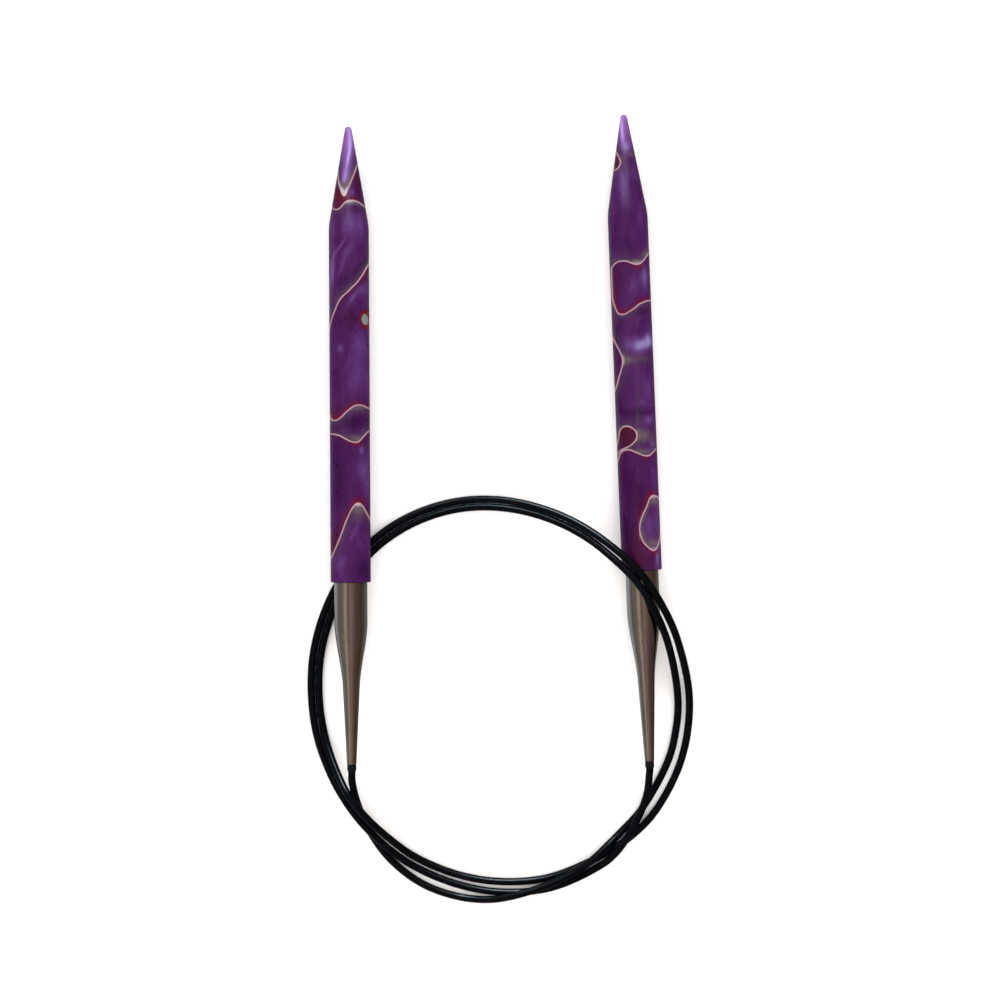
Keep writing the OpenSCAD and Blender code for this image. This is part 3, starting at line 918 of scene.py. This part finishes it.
def drawn_steel():
    """Polished drawn tube: faint lines along it and a brown-grey tone."""
    if "drawn_steel" in bpy.data.materials:
        return bpy.data.materials["drawn_steel"]
    paint = Paint("drawn_steel")
    x, y, z = paint.x, paint.y, paint.z
    lines = paint.noise(x * 7.0, y * 7.0, z * 0.05, detail=4, roughness=0.65)
    cloud = paint.noise(x * 0.8, y * 0.8, z * 0.12, detail=3)
    colour = paint.mix(cloud.ramp(0.30, 0.70), srgb(196, 190, 184), srgb(212, 206, 200))
    colour = paint.mix(lines.ramp(0.48, 0.72) * 0.4, colour, srgb(150, 134, 122))
    paint.link(colour, "Base Color")
    paint.link(lines * 0.08 + cloud * 0.05 + 0.09, "Roughness")
    paint.bump(lines, 0.006)
    paint.set(Metallic=1.0)
    return paint.material


def crimped_steel():
    """Plain steel of the hidden stops, with a cloudy grey finish."""
    paint = Paint("crimped_steel")
    x, y, z = paint.x, paint.y, paint.z
    grain = paint.noise(x, y, z, detail=3)
    paint.link(paint.mix(grain.ramp(0.3, 0.7), srgb(150, 150, 148), srgb(184, 184, 180)), "Base Color")
    paint.link(grain * 0.2 + 0.25, "Roughness")
    paint.set(Metallic=1.0)
    return paint.material


def cable_nylon():
    """Glossy black nylon with faint die lines along it and a little grey scuffing."""
    paint = Paint("cable_nylon")
    x, y, z = paint.x, paint.y, paint.z
    lines = paint.noise(x * 6.0, y * 6.0, z * 0.03, detail=3)
    scuff = paint.noise(x * 1.4, y * 1.4, z * 0.35, detail=4, roughness=0.6)
    colour = paint.mix(scuff.ramp(0.50, 0.78), srgb(2, 4, 7), srgb(7, 9, 13))
    paint.link(colour, "Base Color")
    paint.link(scuff * 0.12 + lines * 0.06 + 0.18, "Roughness")
    paint.bump(lines * 0.6 + scuff * 0.4, 0.003)
    paint.set(Specular_IOR_Level=0.14)
    return paint.material


def sleeve_rubber():
    """Satin black shrunk sleeve, a little uneven round its edge."""
    if "sleeve_rubber" in bpy.data.materials:
        return bpy.data.materials["sleeve_rubber"]
    paint = Paint("sleeve_rubber")
    x, y, z = paint.x, paint.y, paint.z
    grain = paint.noise(x * 5.0, y * 5.0, z * 5.0, detail=4)
    paint.link(paint.mix(grain.ramp(0.3, 0.7), srgb(3, 3, 4), srgb(13, 14, 17)), "Base Color")
    paint.link(grain * 0.20 + 0.25, "Roughness")
    paint.bump(grain, 0.01)
    paint.set(Specular_IOR_Level=0.25)
    return paint.material


# ---------------------------------------------------------------- floor and light

FLOOR_RADIUS = 2.5
COVE_RADIUS = 0.8
WALL_HEIGHT = 2.0

# The room round the table as a shiny tube lying in line with the needles sees it: degrees round from
# straight up, with minus on the left, and what is there
ROOM = [
    (-180, (0.42, 0.44, 0.50)), (-118, (0.34, 0.37, 0.40)), (-95, (0.15, 0.15, 0.15)),
    (-67, (0.19, 0.17, 0.15)), (-52, (0.23, 0.19, 0.16)), (-40, (0.42, 0.38, 0.31)),
    (-30, (0.40, 0.36, 0.29)), (-18, (0.15, 0.11, 0.09)), (-4, (0.28, 0.19, 0.19)),
    (6, (0.27, 0.18, 0.18)), (24, (0.15, 0.10, 0.09)), (50, (0.10, 0.062, 0.052)),
    (95, (0.06, 0.045, 0.032)), (140, (0.19, 0.185, 0.17)),
]


def make_floor():
    """A round pale floor that curves up into a wall, so that no edge of it shows."""
    outline = [(r, 0) for r in (0.0, 0.5, FLOOR_RADIUS - COVE_RADIUS)]
    outline += [
        (FLOOR_RADIUS - COVE_RADIUS * (1 - math.sin(a)), COVE_RADIUS * (1 - math.cos(a)))
        for a in arc(12, 0, math.pi / 2)[1:]
    ]
    outline.append((FLOOR_RADIUS, WALL_HEIGHT))
    sides = 64
    points, faces = [(0, 0, 0)], []
    for radius, height in outline[1:]:
        for k in range(sides):
            angle = math.tau * k / sides
            points.append((radius * math.cos(angle), radius * math.sin(angle), height))
    for k in range(sides):
        n = (k + 1) % sides
        faces.append((0, 1 + k, 1 + n))
        for ring in range(len(outline) - 2):
            inner, outer = 1 + ring * sides, 1 + (ring + 1) * sides
            faces.append((inner + k, outer + k, outer + n, inner + n))
    mesh = bpy.data.meshes.new("floor")
    mesh.from_pydata(points, [], faces)
    mesh.shade_smooth()
    floor = bpy.data.objects.new("floor", mesh)
    bpy.context.scene.collection.objects.link(floor)
    material = bpy.data.materials.new("floor_white")
    material.use_nodes = True
    shader = material.node_tree.nodes["Principled BSDF"]
    shader.inputs["Base Color"].default_value = srgb(244, 244, 244)
    shader.inputs["Roughness"].default_value = 0.9
    shader.inputs["Specular IOR Level"].default_value = 0.1
    mesh.materials.append(material)
    floor.visible_glossy = False


def make_light(name, place, width, height, power, colour, glossy=True, soft=True):
    """A panel that faces the needles.

    glossy is whether it is reflected, and soft whether it lights surfaces.
    """
    data = bpy.data.lights.new(name, "AREA")
    data.shape = "RECTANGLE"
    data.size, data.size_y = width, height
    data.energy = power
    data.color = colour
    light = bpy.data.objects.new(name, data)
    light.location = place
    light.rotation_mode = "QUATERNION"
    light.rotation_quaternion = (Vector((0, -0.02, 0)) - Vector(place)).to_track_quat("-Z", "Y")
    light.visible_camera = False
    light.visible_glossy = glossy
    light.visible_diffuse = soft
    bpy.context.scene.collection.objects.link(light)


def make_world():
    """The shaded room that only reflections and deep shade see, by the turn round the needles."""
    world = bpy.data.worlds.new("room")
    world.use_nodes = True
    tree = world.node_tree
    background = tree.nodes["Background"]
    coordinates = tree.nodes.new("ShaderNodeTexCoord")
    split = tree.nodes.new("ShaderNodeSeparateXYZ")
    tree.links.new(coordinates.outputs["Generated"], split.inputs["Vector"])
    sideways, upwards = Field(tree, split.outputs["X"]), Field(tree, split.outputs["Z"])
    turn = sideways.turn_from(upwards) / math.tau + 0.5
    ramp = tree.nodes.new("ShaderNodeValToRGB")
    set_stops(ramp.color_ramp, [(degrees / 360 + 0.5, (*colour, 1)) for degrees, colour in ROOM])
    tree.links.new(turn.socket, ramp.inputs["Fac"])
    tree.links.new(ramp.outputs["Color"], background.inputs["Color"])
    bpy.context.scene.world = world


def make_studio():
    """A plain white sweep under one large soft panel, and a window that shows only as a reflection."""
    make_floor()
    make_world()
    make_light("window", (0, 0.75, 0.53), 0.30, 0.46, 20, (0.72, 0.91, 1.0), soft=False)
    make_light("ceiling", (0, 0, 1.3), 4.0, 4.0, 85, (1.0, 0.997, 0.99), glossy=False)
    bpy.context.scene.view_settings.view_transform = "Standard"


# ---------------------------------------------------------------- build

make_cable()
make_shaft(NEEDLES["left"], left_marbling)
make_shaft(NEEDLES["right"], right_marbling)
for needle in NEEDLES.values():
    make_ferrule(needle)
stop_material = crimped_steel()
for side in NEEDLES:
    stop = frame["nodes"][f"{side}_cable_stop"]
    stop.data.materials.clear()
    stop.data.materials.append(stop_material)
make_studio()
